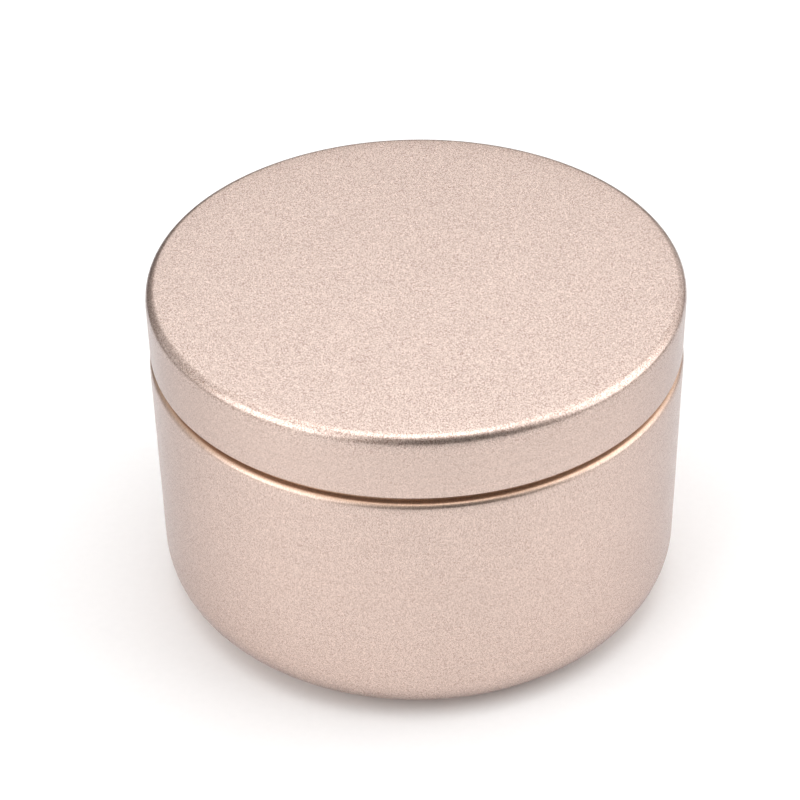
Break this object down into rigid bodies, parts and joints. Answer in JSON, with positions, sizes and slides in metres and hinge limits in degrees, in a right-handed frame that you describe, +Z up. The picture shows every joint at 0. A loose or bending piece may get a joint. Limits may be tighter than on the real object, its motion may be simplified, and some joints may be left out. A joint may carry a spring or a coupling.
{
  "type": "candle tin",
  "caption": "Round seamless slip-lid tin for poured candles: drawn cup with rounded base corner, inset neck and rolled rim, and a flat-topped lift-off lid flush with its wall.",
  "frame": {"origin": "centre of the ring that the tin stands on, at the surface it stands on", "axes": "+Z up along the tin's own axis, through the middle of the lid; the tin is round, so +X and +Y are free"},
  "size_m": [0.0774, 0.0774, 0.0507],
  "materials": {
    "body_coat": "frosted metallic champagne-rose gold coating on tinplate, satin, fine grain",
    "lid_coat": "frosted metallic champagne-rose gold coating on tinplate, satin, fine grain"
  },
  "bodies": {
    "tin": {"tin_body": "body_coat"},
    "lid": {"slip_lid": "lid_coat"}
  },
  "joints": [
    {"name": "lid_lift", "type": "slide", "parent": "tin", "child": "lid", "axis": [0, 0, 1], "range_m": [0, 0.08]}
  ]
}
